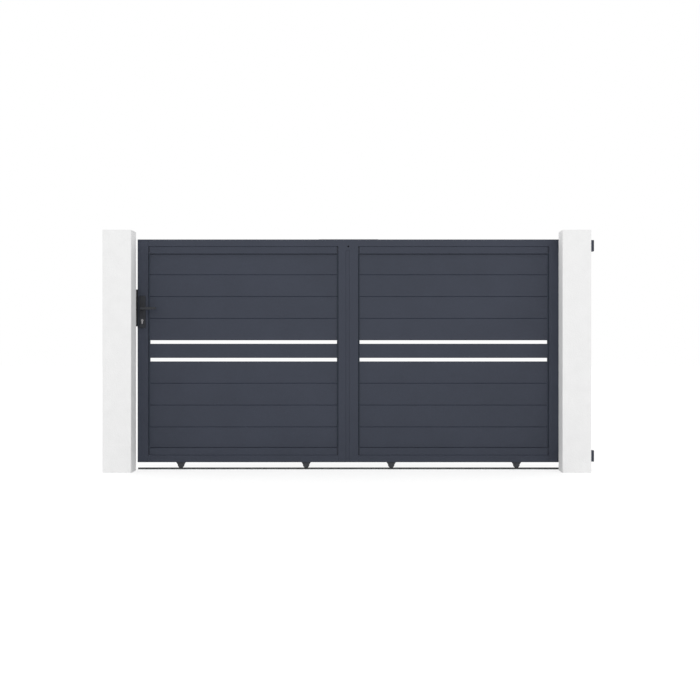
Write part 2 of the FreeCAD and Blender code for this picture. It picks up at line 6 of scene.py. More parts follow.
import bmesh
import bpy
from bpy.props import FloatProperty, PointerProperty, StringProperty
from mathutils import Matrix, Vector


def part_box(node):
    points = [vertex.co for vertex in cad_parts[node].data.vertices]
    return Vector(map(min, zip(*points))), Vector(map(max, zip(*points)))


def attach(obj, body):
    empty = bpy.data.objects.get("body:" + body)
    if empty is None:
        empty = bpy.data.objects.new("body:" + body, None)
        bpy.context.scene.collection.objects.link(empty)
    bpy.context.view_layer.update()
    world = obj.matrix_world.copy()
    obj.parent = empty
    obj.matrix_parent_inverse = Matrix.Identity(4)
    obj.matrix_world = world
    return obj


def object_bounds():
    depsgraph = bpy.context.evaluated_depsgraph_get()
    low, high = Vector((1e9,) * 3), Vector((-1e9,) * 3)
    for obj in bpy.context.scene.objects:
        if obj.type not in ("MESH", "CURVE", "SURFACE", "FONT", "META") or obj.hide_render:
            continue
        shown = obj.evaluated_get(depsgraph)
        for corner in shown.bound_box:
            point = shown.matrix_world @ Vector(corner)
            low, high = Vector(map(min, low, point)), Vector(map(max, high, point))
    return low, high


bl_info = {
    "name": "Sliding Driveway Gate",
    "version": (1, 0, 0),
    "blender": (4, 5, 0),
    "location": "View3D > Sidebar > Gate",
    "description": "Finishes, seals, fixings and stage of a boarded sliding driveway gate",
    "category": "Object",
}

MM = 0.001
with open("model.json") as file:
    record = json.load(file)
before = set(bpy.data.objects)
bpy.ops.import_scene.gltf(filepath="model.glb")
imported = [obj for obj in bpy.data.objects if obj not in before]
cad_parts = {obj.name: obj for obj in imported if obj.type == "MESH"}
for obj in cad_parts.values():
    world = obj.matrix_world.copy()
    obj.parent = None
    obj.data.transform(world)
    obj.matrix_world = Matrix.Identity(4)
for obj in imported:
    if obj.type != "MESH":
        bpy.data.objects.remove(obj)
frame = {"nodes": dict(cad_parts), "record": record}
CAD_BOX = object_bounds()
NODES = frame["nodes"]

WHEELS = range(1, 5)
# Thickness of the floor rail's foot, below the bead that the wheels run on
RAIL_FOOT = 3 * MM

# Turns that bring the outer side of a small piece, which is its -Y side, to face a way
FACE_FRONT = (0.0, 0.0, 0.0)
FACE_BACK = (0.0, 0.0, math.pi)
FACE_LEFT = (0.0, 0.0, -math.pi / 2)
FACE_UP = (-math.pi / 2, 0.0, 0.0)

# Stage values: the lamp's place from the gate's middle, and the light that the camera sees on the floor
LAMP_OFFSET = Vector((1.5, -13.0, 3.2))
FLOOR_LIFT = 0.7
WHITE = (1.0, 1.0, 1.0, 1.0)


def hex_to_linear(text):
    """sRGB hex such as 36393f to a linear RGBA colour."""
    channels = [int(text[i:i + 2], 16) / 255 for i in (0, 2, 4)]
    return tuple(c / 12.92 if c <= 0.04045 else ((c + 0.055) / 1.055) ** 2.4 for c in channels) + (1.0,)


def middle_of(box):
    low, high = box
    return (low + high) / 2


# Helpers for node trees and objects

def first_output(node):
    return next(s for s in node.outputs if s.enabled)


def add_node(tree, kind, sockets=None, **settings):
    """Adds a node with its settings. Inputs go by name, identifier or index, and take a value, a socket
    to link, or a node whose first output is linked."""
    made = tree.nodes.new(kind)
    for key, value in settings.items():
        setattr(made, key, value)
    for key, value in (sockets or {}).items():
        socket = made.inputs[key] if isinstance(key, int) else next(
            s for s in made.inputs if key in (s.name, s.identifier))
        if isinstance(value, bpy.types.Node):
            value = first_output(value)
        if isinstance(value, bpy.types.NodeSocket):
            tree.links.new(value, socket)
        else:
            socket.default_value = value
    return made


def new_material(name):
    """Material with an empty tree."""
    made = bpy.data.materials.new(name)
    made.use_nodes = True
    made.node_tree.nodes.clear()
    return made, made.node_tree


def link_object(name, data):
    made = bpy.data.objects.new(name, data)
    bpy.context.scene.collection.objects.link(made)
    return made


def mesh_object(name, shape):
    """Object from a bmesh, which is used up."""
    mesh = bpy.data.meshes.new(name)
    shape.normal_update()
    shape.to_mesh(mesh)
    shape.free()
    return link_object(name, mesh)


# Finishes, each from a darker to a lighter tone in sRGB hex

def powder_coat(name, low_colour, high_colour, roughness):
    """Fine-structure polyester powder baked on metal: dull, faintly grainy, even in colour."""
    made, tree = new_material(name)
    place = add_node(tree, "ShaderNodeTexCoord").outputs["Object"]
    # A real grain of 0.3 mm can't show from the street, so it is drawn at 2.5 mm
    grain = add_node(tree, "ShaderNodeTexNoise", {"Vector": place, "Scale": 1 / (2.5 * MM), "Detail": 2.0})
    cloud = add_node(tree, "ShaderNodeTexNoise", {"Vector": place, "Scale": 1 / (280 * MM), "Detail": 3.0})
    # The cloud stays faint under the grain, and both are 0.5 on average
    cloud_share, reach = 0.35, 0.25
    average = 0.5 * cloud_share + 0.5
    speckle = add_node(tree, "ShaderNodeMath", {0: cloud, 1: cloud_share, 2: grain},
                       operation="MULTIPLY_ADD")
    tone = add_node(tree, "ShaderNodeMapRange", {
        "Value": speckle, "From Min": average - reach, "From Max": average + reach})
    colour = add_node(tree, "ShaderNodeMix", {
        "Factor_Float": tone, "A_Color": hex_to_linear(low_colour),
        "B_Color": hex_to_linear(high_colour)}, data_type="RGBA")
    sheen = add_node(tree, "ShaderNodeMapRange", {
        "Value": grain, "To Min": roughness - 0.06, "To Max": roughness + 0.06})
    bump = add_node(tree, "ShaderNodeBump", {"Height": grain, "Strength": 0.5, "Distance": 0.3 * MM})
    shader = add_node(tree, "ShaderNodeBsdfPrincipled", {
        "Base Color": colour, "Roughness": sheen, "Normal": bump, "IOR": 1.5, "Specular IOR Level": 0.3})
    add_node(tree, "ShaderNodeOutputMaterial", {"Surface": shader})
    return made


def masonry_render(name, low_colour, high_colour):
    """Mineral top coat floated over the masonry: chalky, with sand grain, pits and a soft trowel cloud."""
    made, tree = new_material(name)
    place = add_node(tree, "ShaderNodeTexCoord").outputs["Object"]
    # Sand of 2 mm is drawn as a grain of 5 mm, which still shows when the pillar is near
    grain = add_node(tree, "ShaderNodeTexNoise", {"Vector": place, "Scale": 1 / (5 * MM), "Detail": 4.0,
                                                  "Roughness": 0.6})
    pits = add_node(tree, "ShaderNodeTexVoronoi", {"Vector": place, "Scale": 1 / (9 * MM)})
    cloud = add_node(tree, "ShaderNodeTexNoise", {"Vector": place, "Scale": 1 / (90 * MM), "Detail": 5.0})
    both = add_node(tree, "ShaderNodeMath", {0: grain, 1: cloud}, operation="MULTIPLY")
    # What the product of both comes to at its least and its most
    least, most = 0.12, 0.42
    tone = add_node(tree, "ShaderNodeMapRange", {"Value": both, "From Min": least, "From Max": most})
    colour = add_node(tree, "ShaderNodeMix", {
        "Factor_Float": tone, "A_Color": hex_to_linear(low_colour),
        "B_Color": hex_to_linear(high_colour)}, data_type="RGBA")
    height = add_node(tree, "ShaderNodeMath", {0: grain, 1: pits}, operation="ADD")
    bump = add_node(tree, "ShaderNodeBump", {"Height": height, "Strength": 0.5, "Distance": 1.2 * MM})
    shader = add_node(tree, "ShaderNodeBsdfPrincipled", {
        "Base Color": colour, "Roughness": 0.92, "Normal": bump, "IOR": 1.45})
    add_node(tree, "ShaderNodeOutputMaterial", {"Surface": shader})
    return made


def zinc_coat(name, low_colour, high_colour, roughness, flower, metallic=0.85):
    """Zinc on steel: a dull metal with pale and dark crystal flowers of a given size."""
    made, tree = new_material(name)
    place = add_node(tree, "ShaderNodeTexCoord").outputs["Object"]
    flowers = add_node(tree, "ShaderNodeTexVoronoi", {"Vector": place, "Scale": 1 / flower})
    tone = add_node(tree, "ShaderNodeSeparateColor", {"Color": flowers.outputs["Color"]})
    stain = add_node(tree, "ShaderNodeTexNoise", {"Vector": place, "Scale": 1 / (60 * MM), "Detail": 4.0})
    both = add_node(tree, "ShaderNodeMath", {0: tone, 1: stain}, operation="MULTIPLY")
    colour = add_node(tree, "ShaderNodeMix", {
        "Factor_Float": both, "A_Color": hex_to_linear(low_colour),
        "B_Color": hex_to_linear(high_colour)}, data_type="RGBA")
    rough = add_node(tree, "ShaderNodeMapRange", {
        "Value": tone, "To Min": roughness - 0.08, "To Max": roughness + 0.08})
    bump = add_node(tree, "ShaderNodeBump", {"Height": stain, "Strength": 0.2, "Distance": 0.2 * MM})
    shader = add_node(tree, "ShaderNodeBsdfPrincipled", {
        "Base Color": colour, "Roughness": rough, "Normal": bump, "Metallic": metallic})
    add_node(tree, "ShaderNodeOutputMaterial", {"Surface": shader})
    return made


def rail_zinc(name, low_colour, high_colour, painted_light_foot_colour):
    """Zinc-coated rail with a dark bead, and a foot painted near-white as painted light, so that it and its
    shade read as bright as the lit floor.
    """
    made = zinc_coat(name, low_colour, high_colour, roughness=0.6, flower=9 * MM, metallic=0.3)
    tree = made.node_tree
    base = next(n for n in tree.nodes if n.type == "BSDF_PRINCIPLED").inputs["Base Color"]
    dark_bead_colour = base.links[0].from_socket
    place = add_node(tree, "ShaderNodeTexCoord").outputs["Object"]
    height = add_node(tree, "ShaderNodeSeparateXYZ", {"Vector": place}).outputs["Z"]
    # Below the bead the foot is painted near-white: painted light that makes it and its shade read as bright
    # as the lit floor
    fade = 1.5 * MM
    share = add_node(tree, "ShaderNodeMapRange", {
        "Value": height, "From Min": RAIL_FOOT, "From Max": RAIL_FOOT + fade})
    colour = add_node(tree, "ShaderNodeMix", {
        "Factor_Float": share, "A_Color": hex_to_linear(painted_light_foot_colour), "B_Color": dark_bead_colour},
        data_type="RGBA")
    tree.links.new(first_output(colour), base)
    return made


def turned_steel(name, centre, low_colour, high_colour):
    """Turned steel wheel under a dark oxide, with fine rings of the cutting tool round the axle."""
    made, tree = new_material(name)
    place = add_node(tree, "ShaderNodeTexCoord").outputs["Object"]
    local = add_node(tree, "ShaderNodeMapping", {"Vector": place, "Location": tuple(-centre)})
    # Tool marks of 0.2 mm feed are drawn 7.5 mm apart so that they show, which is 1.2 mm for each radian
    # of the wave. The texture runs through 20 radians in a unit
    wave_scale = 1 / (20 * 1.2 * MM)
    rings = add_node(tree, "ShaderNodeTexWave", {
        "Vector": local, "Scale": wave_scale, "Distortion": 0.4, "Detail": 1.0},
        wave_type="RINGS", rings_direction="Y")
    stain = add_node(tree, "ShaderNodeTexNoise", {"Vector": place, "Scale": 1 / (14 * MM), "Detail": 3.0})
    colour = add_node(tree, "ShaderNodeMix", {
        "Factor_Float": stain, "A_Color": hex_to_linear(low_colour),
        "B_Color": hex_to_linear(high_colour)}, data_type="RGBA")
    rough = add_node(tree, "ShaderNodeMapRange", {"Value": stain, "To Min": 0.3, "To Max": 0.5})
    bump = add_node(tree, "ShaderNodeBump", {
        "Height": rings.outputs["Fac"], "Strength": 0.3, "Distance": 0.1 * MM})
    shader = add_node(tree, "ShaderNodeBsdfPrincipled", {
        "Base Color": colour, "Roughness": rough, "Normal": bump, "Metallic": 1.0})
    add_node(tree, "ShaderNodeOutputMaterial", {"Surface": shader})
    return made


def brushed_metal(name, low_colour, high_colour, stretch, roughness):
    """Satin stainless or nickel: short hairlines along one direction, soft bright reflections."""
    made, tree = new_material(name)
    place = add_node(tree, "ShaderNodeTexCoord").outputs["Object"]
    lines = add_node(tree, "ShaderNodeMapping", {"Vector": place, "Scale": stretch})
    hair = add_node(tree, "ShaderNodeTexNoise", {"Vector": lines, "Scale": 1 / (0.8 * MM), "Detail": 2.0})
    colour = add_node(tree, "ShaderNodeMix", {
        "Factor_Float": hair, "A_Color": hex_to_linear(low_colour),
        "B_Color": hex_to_linear(high_colour)}, data_type="RGBA")
    rough = add_node(tree, "ShaderNodeMapRange", {
        "Value": hair, "To Min": roughness - 0.07, "To Max": roughness + 0.07})
    bump = add_node(tree, "ShaderNodeBump", {"Height": hair, "Strength": 0.15, "Distance": 0.05 * MM})
    shader = add_node(tree, "ShaderNodeBsdfPrincipled", {
        "Base Color": colour, "Roughness": rough, "Normal": bump, "Metallic": 1.0})
    add_node(tree, "ShaderNodeOutputMaterial", {"Surface": shader})
    return made


def moulded_plastic(name, low_colour, high_colour, roughness, gloss=0.5):
    """Moulded nylon, polypropylene or rubber: even colour under a fine spark-eroded skin."""
    made, tree = new_material(name)
    place = add_node(tree, "ShaderNodeTexCoord").outputs["Object"]
    skin = add_node(tree, "ShaderNodeTexNoise", {"Vector": place, "Scale": 1 / (1.2 * MM), "Detail": 2.0})
    cloud = add_node(tree, "ShaderNodeTexNoise", {"Vector": place, "Scale": 1 / (40 * MM), "Detail": 2.0})
    colour = add_node(tree, "ShaderNodeMix", {
        "Factor_Float": cloud, "A_Color": hex_to_linear(low_colour),
        "B_Color": hex_to_linear(high_colour)}, data_type="RGBA")
    rough = add_node(tree, "ShaderNodeMapRange", {
        "Value": skin, "To Min": roughness - 0.05, "To Max": roughness + 0.05})
    bump = add_node(tree, "ShaderNodeBump", {"Height": skin, "Strength": 0.2, "Distance": 0.08 * MM})
    shader = add_node(tree, "ShaderNodeBsdfPrincipled", {
        "Base Color": colour, "Roughness": rough, "Normal": bump, "IOR": 1.5,
        "Specular IOR Level": gloss})
    add_node(tree, "ShaderNodeOutputMaterial", {"Surface": shader})
    return made


# Finish of each record slot. The wheels have theirs one by one, as their rings run round the axles
SLOT_FINISHES = {
    "powder_coat": "powder_coated_aluminium",
    "render": "mineral_render",
    "lock_trim": "powder_coated_lock_plate",
    "dark_steel": "powder_coated_steel",
    "rail_steel": "galvanised_rail",
    "galvanised": "galvanised_steel",
    "lock_body": "brushed_stainless_steel",
    "cylinder_brass": "brushed_nickel",
    "roller_nylon": "moulded_nylon",
    "cap_plastic": "moulded_polypropylene",
}
# Nodes whose finish isn't that of their slot
# The levers get the lock plates' coat drawn lighter, as a painted highlight of the light they catch
OWN_FINISHES = {"lever_front": "lever_coat_painted_highlight", "lever_back": "lever_coat_painted_highlight"}
OWN_FINISHES.update(("carriage_%d" % number, "powder_coated_carriage") for number in WHEELS)


def finish_table(values):
    """Maker of each finish, with its two tones and its other values."""
    return {
        "powder_coated_aluminium": (powder_coat, values.coat_dark, values.coat_light, 0.5),
        "powder_coated_lock_plate": (powder_coat, values.lock_dark, values.lock_light, 0.4),
        # Painted highlight: the levers' tones are the lock coat lightened to stand in for the light on them
        "lever_coat_painted_highlight": (powder_coat, values.lever_highlight_dark, values.lever_highlight_light, 0.4),
        "powder_coated_steel": (powder_coat, "1d1e20", "242527", 0.45),
        "powder_coated_carriage": (powder_coat, "3b3d42", "42444a", 0.5),
        "mineral_render": (masonry_render, values.render_dark, values.render_light),
        # The rail's foot tone e6e8e9 is painted light, near-white so that it reads as bright as the lit
        # floor
        "galvanised_rail": (rail_zinc, "202021", "363637", "e6e8e9"),
        "galvanised_steel": (zinc_coat, "8b8d90", "b9bbbd", 0.45, 6 * MM),
        "brushed_stainless_steel": (brushed_metal, "9a9a98", "b4b4b2", (8.0, 8.0, 0.4), 0.32),
        "brushed_nickel": (brushed_metal, "8b8a8c", "a4a3a5", (3.0, 0.6, 3.0), 0.3),
        "moulded_nylon": (moulded_plastic, "cfcfc9", "deded8", 0.4),
        # Near black and dull: the joint screw stands in for the shade inside the joint block's hole, which
        # is painted shade
        "black_nylon_painted_hole_shade": (moulded_plastic, "08090c", "0c0e12", 0.8, 0.1),
        "moulded_polypropylene": (moulded_plastic, "2b2d32", "33353a", 0.5),
        # Dark rubber with a blue tint. On the board seals it is painted shade of the recess beside the board
        # ends; on the bearing shields it is the rubber's own colour
        "moulded_rubber_and_painted_shade": (moulded_plastic, "2c343f", "323a45", 0.7, 0.3),
    }


def material_of(finish):
    """The material of a finish, made once."""
    if finish in bpy.data.materials:
        return bpy.data.materials[finish]
    maker, *values = finish_table(bpy.context.scene.gate_finishes)[finish]
    return maker(finish, *values)


# Shapes of the small pieces, each about its own origin with its outer side facing -Y

def ring(shape, radii, y):
    """Vertices evenly round Y, one for each radius. On the axis they are all the same one."""
    if not any(radii):
        return [shape.verts.new((0, y, 0))] * len(radii)
    step = 2 * math.pi / len(radii)
    return [shape.verts.new((radius * math.cos(i * step), y, radius * math.sin(i * step)))
            for i, radius in enumerate(radii)]


def bridge(shape, rings):
    """Faces between each ring and the next one."""
    made = []
    for low, high in zip(rings, rings[1:]):
        for i in range(len(low)):
            after = (i + 1) % len(low)
            corners = dict.fromkeys((low[i], low[after], high[after], high[i]))
            made.append(shape.faces.new(list(corners)))
    return made


def lathe(profile, steps):
    """Closed turned shape from (radius, y) pairs. A profile off the axis runs back to its start."""
    shape = bmesh.new()
    rings = [ring(shape, [radius] * steps, y) for radius, y in profile]
    if profile[0][0] > 0:
        rings.append(rings[0])
    bridge(shape, rings)
    bmesh.ops.recalc_face_normals(shape, faces=shape.faces[:])
    return shape


def socket_screw(head_height, socket_radius, socket_depth):
    """Low domed head of radius 1 with a six-sided socket, whose radius goes to its corners."""
    sides = 24
    shape = bmesh.new()
    # The dome's radius, and its height as a share of the head's
    dome = ((0.9, 0.0), (1.0, 0.35), (0.86, 0.85), (0.6, 1.0))
    rings = [ring(shape, [radius] * sides, -head_height * share) for radius, share in dome]
    per_flat = sides // 6
    from_middle = [(i % per_flat) / per_flat * math.pi / 3 - math.pi / 6 for i in range(sides)]
    hexagon = [socket_radius * math.cos(math.pi / 6) / math.cos(angle) for angle in from_middle]
    floor_y = -head_height + socket_depth
    # The socket's floor is a fan, because some of its corners lie in line
    rings += [ring(shape, radii, y) for radii, y in (
        (hexagon, -head_height), (hexagon, floor_y), ([0] * sides, floor_y))]
    bridge(shape, rings)
    shape.faces.new(rings[0])
    bmesh.ops.recalc_face_normals(shape, faces=shape.faces[:])
    return shape


def hexagon_head(height, washer_radius, washer_height):
    """Six-sided bolt head, 1 across flats, with a cut crown and on a flat washer."""
    bevelled = washer_radius * 0.97
    shape = lathe([(0, 0), (bevelled, 0), (washer_radius, -washer_height * 0.4),
                   (bevelled, -washer_height), (0, -washer_height)], steps=32)
    corner = 0.5 / math.cos(math.pi / 6)
    rings = [ring(shape, [corner * scale] * 6, y)
             for scale, y in ((1.0, -washer_height), (1.0, -height * 0.85), (0.88, -height))]
    faces = bridge(shape, rings) + [shape.faces.new(rings[0]), shape.faces.new(rings[-1])]
    bmesh.ops.recalc_face_normals(shape, faces=faces)
    return shape


def painted_shade_seal_strip(width, rise, length):
    """Half-round rubber bead along Z, flat at y = 0 and crowned towards -Y."""
    shape = bmesh.new()
    steps = 8
    outline = [(width / 2 * math.cos(math.pi * i / steps), -rise * math.sin(math.pi * i / steps))
               for i in range(steps + 1)]
    ends = [[shape.verts.new((x, y, z)) for x, y in outline] for z in (0, length)]
    bridge(shape, ends)
    for end in ends:
        shape.faces.new(end)
    bmesh.ops.recalc_face_normals(shape, faces=shape.faces[:])
    return shape


def copies_tree():
    """Geometry Nodes tree that sets a copy of a piece on each point, turned by the point's own angles."""
    name = "gate_copies"
    if name in bpy.data.node_groups:
        return bpy.data.node_groups[name]
    tree = bpy.data.node_groups.new(name, "GeometryNodeTree")
    for label, kind in (("Geometry", "Geometry"), ("Piece", "Object"), ("Size", "Float"),
                        ("Finish", "Material")):
        tree.interface.new_socket(label, in_out="INPUT", socket_type="NodeSocket" + kind)
    tree.interface.new_socket("Geometry", in_out="OUTPUT", socket_type="NodeSocketGeometry")
    given = add_node(tree, "NodeGroupInput")
    piece = add_node(tree, "GeometryNodeObjectInfo", {"Object": given.outputs["Piece"]})
    turn = add_node(tree, "GeometryNodeInputNamedAttribute", {"Name": "turn"}, data_type="FLOAT_VECTOR")
    rotation = add_node(tree, "FunctionNodeEulerToRotation", {0: turn})
    copies = add_node(tree, "GeometryNodeInstanceOnPoints", {
        "Points": given.outputs["Geometry"], "Instance": piece.outputs["Geometry"],
        "Rotation": rotation, "Scale": given.outputs["Size"]})
    real = add_node(tree, "GeometryNodeRealizeInstances", {"Geometry": copies})
    coated = add_node(tree, "GeometryNodeSetMaterial", {
        "Geometry": real, "Material": given.outputs["Finish"]})
    add_node(tree, "NodeGroupOutput", {"Geometry": coated})
    return tree


def place_copies(name, body, finish, shape, places, size=1.0):
    """One plain mesh of a shape repeated at (point, turn) places. Size is the length of the shape's unit."""
    piece = mesh_object(name + "_piece", shape)
    points = bpy.data.meshes.new(name + "_points")
    points.from_pydata([tuple(point) for point, _ in places], [], [])
    turns = points.attributes.new("turn", "FLOAT_VECTOR", "POINT")
    turns.data.foreach_set("vector", [angle for _, turn in places for angle in turn])
    carrier = link_object(name + "_points", points)
    modifier = carrier.modifiers.new("copies", "NODES")
    modifier.node_group = copies_tree()
    values = {"Piece": piece, "Size": size, "Finish": material_of(finish)}
    for item in modifier.node_group.interface.items_tree:
        if item.item_type == "SOCKET" and item.name in values:
            modifier[item.identifier] = values[item.name]
    bpy.context.view_layer.update()
    evaluated = carrier.evaluated_get(bpy.context.evaluated_depsgraph_get())
    mesh = bpy.data.meshes.new_from_object(evaluated)
    mesh.name = name
    made = link_object(name, mesh)
    for spare in (carrier, piece):
        bpy.data.objects.remove(spare)
    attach(made, body)


# Values a user would change

class GateFinishes(bpy.types.PropertyGroup):
    """Tones of the finishes that show most"""
    coat_dark: StringProperty(name="Coat, dark", default="2f3440",
                              description="Darker tone of the leaf's powder coat, sRGB hex")
    coat_light: StringProperty(name="Coat, light", default="393e4c",
                               description="Lighter tone of the leaf's powder coat, sRGB hex")
    render_dark: StringProperty(name="Render, dark", default="ebebeb",
                                description="Darker tone of the pillars' render, sRGB hex")
    render_light: StringProperty(name="Render, light", default="f0f0f0",
                                 description="Lighter tone of the pillars' render, sRGB hex")
    lock_dark: StringProperty(name="Lock, dark", default="222429",
                              description="Darker tone of the lock plates' coat, sRGB hex")
    lock_light: StringProperty(name="Lock, light", default="2c2f36",
                               description="Lighter tone of the lock plates' coat, sRGB hex")
    # The levers' tones are lighter than the lock plates' as a painted highlight, not a coat of their own
    lever_highlight_dark: StringProperty(name="Lever, dark", default="2b2d32",
                               description="Darker tone of the levers' coat, sRGB hex")
    lever_highlight_light: StringProperty(name="Lever, light", default="35373c",
                                description="Lighter tone of the levers' coat, sRGB hex")


class GateFixings(bpy.types.PropertyGroup):
    """Sizes of the added pieces"""
    # The seal bead is a dark strip that draws the shade of the recess beside the board ends: painted shade
    shade_seal_width: FloatProperty(name="Seal width", default=8 * MM, min=MM, unit="LENGTH",
                              description="Width of the rubber bead beside the board ends")
    shade_seal_rise: FloatProperty(name="Seal rise", default=3.5 * MM, min=MM, unit="LENGTH",
                             description="How far the rubber bead stands off the neck")
    rail_screw_pitch: FloatProperty(name="Rail screw pitch", default=400 * MM, min=50 * MM, unit="LENGTH",
                                    description="Distance between the floor rail's screws")
    rail_screw_radius: FloatProperty(name="Rail screw radius", default=4.5 * MM, min=MM, unit="LENGTH",
                                     description="Head radius of the floor rail's screws")
    anchor_flats: FloatProperty(name="Anchor flats", default=13 * MM, min=MM, unit="LENGTH",
                                description="Across flats of the anchors in the masonry")
    trim_screw_radius: FloatProperty(name="Trim screw radius", default=4 * MM, min=MM, unit="LENGTH",
                                     description="Head radius of the lock trim's screws")


class GateStage(bpy.types.PropertyGroup):
    """Camera, floor and light"""
    camera_distance: FloatProperty(name="Camera distance", default=9.37, min=1.0, unit="LENGTH",
                                   description="Distance of the camera from the pillars' fronts")
    camera_height: FloatProperty(name="Camera height", default=0.8545, min=0.1, unit="LENGTH",
                                 description="Height of the camera above the ground")
    camera_x: FloatProperty(name="Camera place", default=1.768, unit="LENGTH",
                            description="Camera's place along the gate")
    camera_shift: FloatProperty(name="Camera shift", default=-0.03,
                                description="Sideways lens shift, as a share of the picture")
    lens: FloatProperty(name="Lens", default=69.3, min=10.0, unit="CAMERA",
                        description="Focal length on a 36 mm sensor")
    floor_size: FloatProperty(name="Floor size", default=120.0, min=5.0, unit="LENGTH",
                              description="Side of the pale floor")
    lamp_power: FloatProperty(name="Lamp power", default=150.0, min=0.0, unit="POWER",
                              description="Power of the soft front lamp")
    lamp_size: FloatProperty(name="Lamp size", default=9.0, min=0.5, unit="LENGTH",
                             description="Side of the soft front lamp")
    sky_level: FloatProperty(name="Sky level", default=1.05, min=0.0,
                             description="Strength of the even light from all round")


# Operators, one for each group of pieces, with the functions that only they use

class GATE_OT_finishes(bpy.types.Operator):
    """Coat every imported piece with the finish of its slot"""
    bl_idname = "gate.finishes"
    bl_label = "Finishes"

    def execute(self, context):
        slots = {s["node"]: s["material_slot"] for s in frame["record"]["subparts"]}
        for name, node in NODES.items():
            if slots[name] == "wheel_steel":
                material = turned_steel("turned_steel_" + name, middle_of(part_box(name)),
                                        "3a3b3d", "4c4d4f")
            else:
                material = material_of(OWN_FINISHES.get(name) or SLOT_FINISHES[slots[name]])
            node.data.materials.clear()
            node.data.materials.append(material)
        return {"FINISHED"}


def neck_faces():
    """Front and back faces of the uprights' necks, from the left mullion's own corners beside the bead."""
    bead_low, bead_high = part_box("top_bead_left")
    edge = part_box("mullion_left")[0].x
    ys = [v.co.y for v in NODES["mullion_left"].data.vertices if v.co.x < edge + MM]
    if not bead_low.y < min(ys) < max(ys) < bead_high.y:
        raise RuntimeError("the neck of the left mullion isn't where the seals go")
    return min(ys), max(ys)


class GATE_OT_painted_shade_seals(bpy.types.Operator):
    """Rubber beads on the necks beside the boards' ends, front and back, dark so that they draw the shade of
    the recess there as painted shade
    """
    bl_idname = "gate.seals"
    bl_label = "Board seals and painted shade"

    def execute(self, context):
        sizes = context.scene.gate_fixings
        boards = [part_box("centre_board_" + side) for side in ("left", "right")]
        beads = [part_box("top_bead_" + side) for side in ("left", "right")]
        low_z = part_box("bottom_bead_left")[1].z
        high_z = beads[0][0].z
        front_y, back_y = neck_faces()
        places = []
        for (board_low, board_high), (bead_low, bead_high) in zip(boards, beads):
            for x in ((board_low.x + bead_low.x) / 2, (board_high.x + bead_high.x) / 2):
                places.append((Vector((x, front_y, low_z)), FACE_FRONT))
                places.append((Vector((x, back_y, low_z)), FACE_BACK))
        shape = painted_shade_seal_strip(sizes.shade_seal_width, sizes.shade_seal_rise, high_z - low_z)
        place_copies("board_seals", "leaf", "moulded_rubber_and_painted_shade", shape, places)
        return {"FINISHED"}


class GATE_OT_rail_screws(bpy.types.Operator):
    """Screws that hold the floor rail's foot down, in two staggered rows"""
    bl_idname = "gate.rail_screws"
    bl_label = "Rail screws"

    def execute(self, context):
        sizes = context.scene.gate_fixings
        low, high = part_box("floor_rail")
        count = int((high.x - low.x) / sizes.rail_screw_pitch)
        margin = (high.x - low.x - (count - 1) * sizes.rail_screw_pitch) / 2
        middle_y = (low.y + high.y) / 2
        row_share = 0.33
        row_y = (high.y - low.y) * row_share
        places = []
        for number in range(count):
            side = 1 if number % 2 else -1
            x = low.x + margin + number * sizes.rail_screw_pitch
            places.append((Vector((x, middle_y + side * row_y, low.z + RAIL_FOOT)), FACE_UP))
        # A head of 4.5 mm radius is 1.2 mm high, with a socket of 2.2 mm radius and 1 mm depth
        shape = socket_screw(head_height=1.2 / 4.5, socket_radius=2.2 / 4.5, socket_depth=1 / 4.5)
        place_copies("rail_screws", "gateway", "galvanised_steel", shape, places,
                     size=sizes.rail_screw_radius)
        return {"FINISHED"}


class GATE_OT_lock_screws(bpy.types.Operator):
    """Screws of the lock plates and of the faceplate"""
    bl_idname = "gate.lock_screws"
    bl_label = "Lock screws"

    def execute(self, context):
        radius = context.scene.gate_fixings.trim_screw_radius
        # Through both plates from the garden side, so that the street side shows none
        low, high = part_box("escutcheon_front")
        back_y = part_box("escutcheon_back")[1].y
        from_end = 12 * MM
        places = [(Vector(((low.x + high.x) / 2, back_y, z)), FACE_BACK)
                  for z in (low.z + from_end, high.z - from_end)]
        shape = socket_screw(head_height=0.4, socket_radius=0.45, socket_depth=0.3)
        place_copies("lock_plate_screws", "leaf", "galvanised_steel", shape, places,
                     size=radius)
        # The faceplate is the side of the lock case that looks at the left pillar
        low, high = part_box("lock_case")
        from_end = 10 * MM
        places = [(Vector((low.x, (low.y + high.y) / 2, z)), FACE_LEFT)
                  for z in (low.z + from_end, high.z - from_end)]
        shape = socket_screw(head_height=0.3, socket_radius=0.45, socket_depth=0.25)
        place_copies("faceplate_screws", "leaf", "galvanised_steel", shape, places,
                     size=radius)
        return {"FINISHED"}


def both_sides(centre, front_y, back_y):
    """Places in front of a centre and behind it."""
    return [(Vector((centre.x, front_y, centre.z)), FACE_FRONT),
            (Vector((centre.x, back_y, centre.z)), FACE_BACK)]


class GATE_OT_lever_collars(bpy.types.Operator):
    """Collars that close the lock plates' holes round the lever necks"""
    bl_idname = "gate.lever_collars"
    bl_label = "Lever collars"

    def execute(self, context):
        bore, rim, crown = 9.3 * MM, 13 * MM, 11.8 * MM
        inside_y, edge_y, outside_y = 0.5 * MM, -1.2 * MM, -2.6 * MM
        shape = lathe([(bore, inside_y), (rim, inside_y), (rim, edge_y), (crown, outside_y),
                       (bore, outside_y)], steps=40)
        places = both_sides(middle_of(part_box("lever_spindle")),
                            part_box("escutcheon_front")[0].y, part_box("escutcheon_back")[1].y)
        place_copies("lever_collars", "leaf", "powder_coated_lock_plate", shape, places)
        return {"FINISHED"}


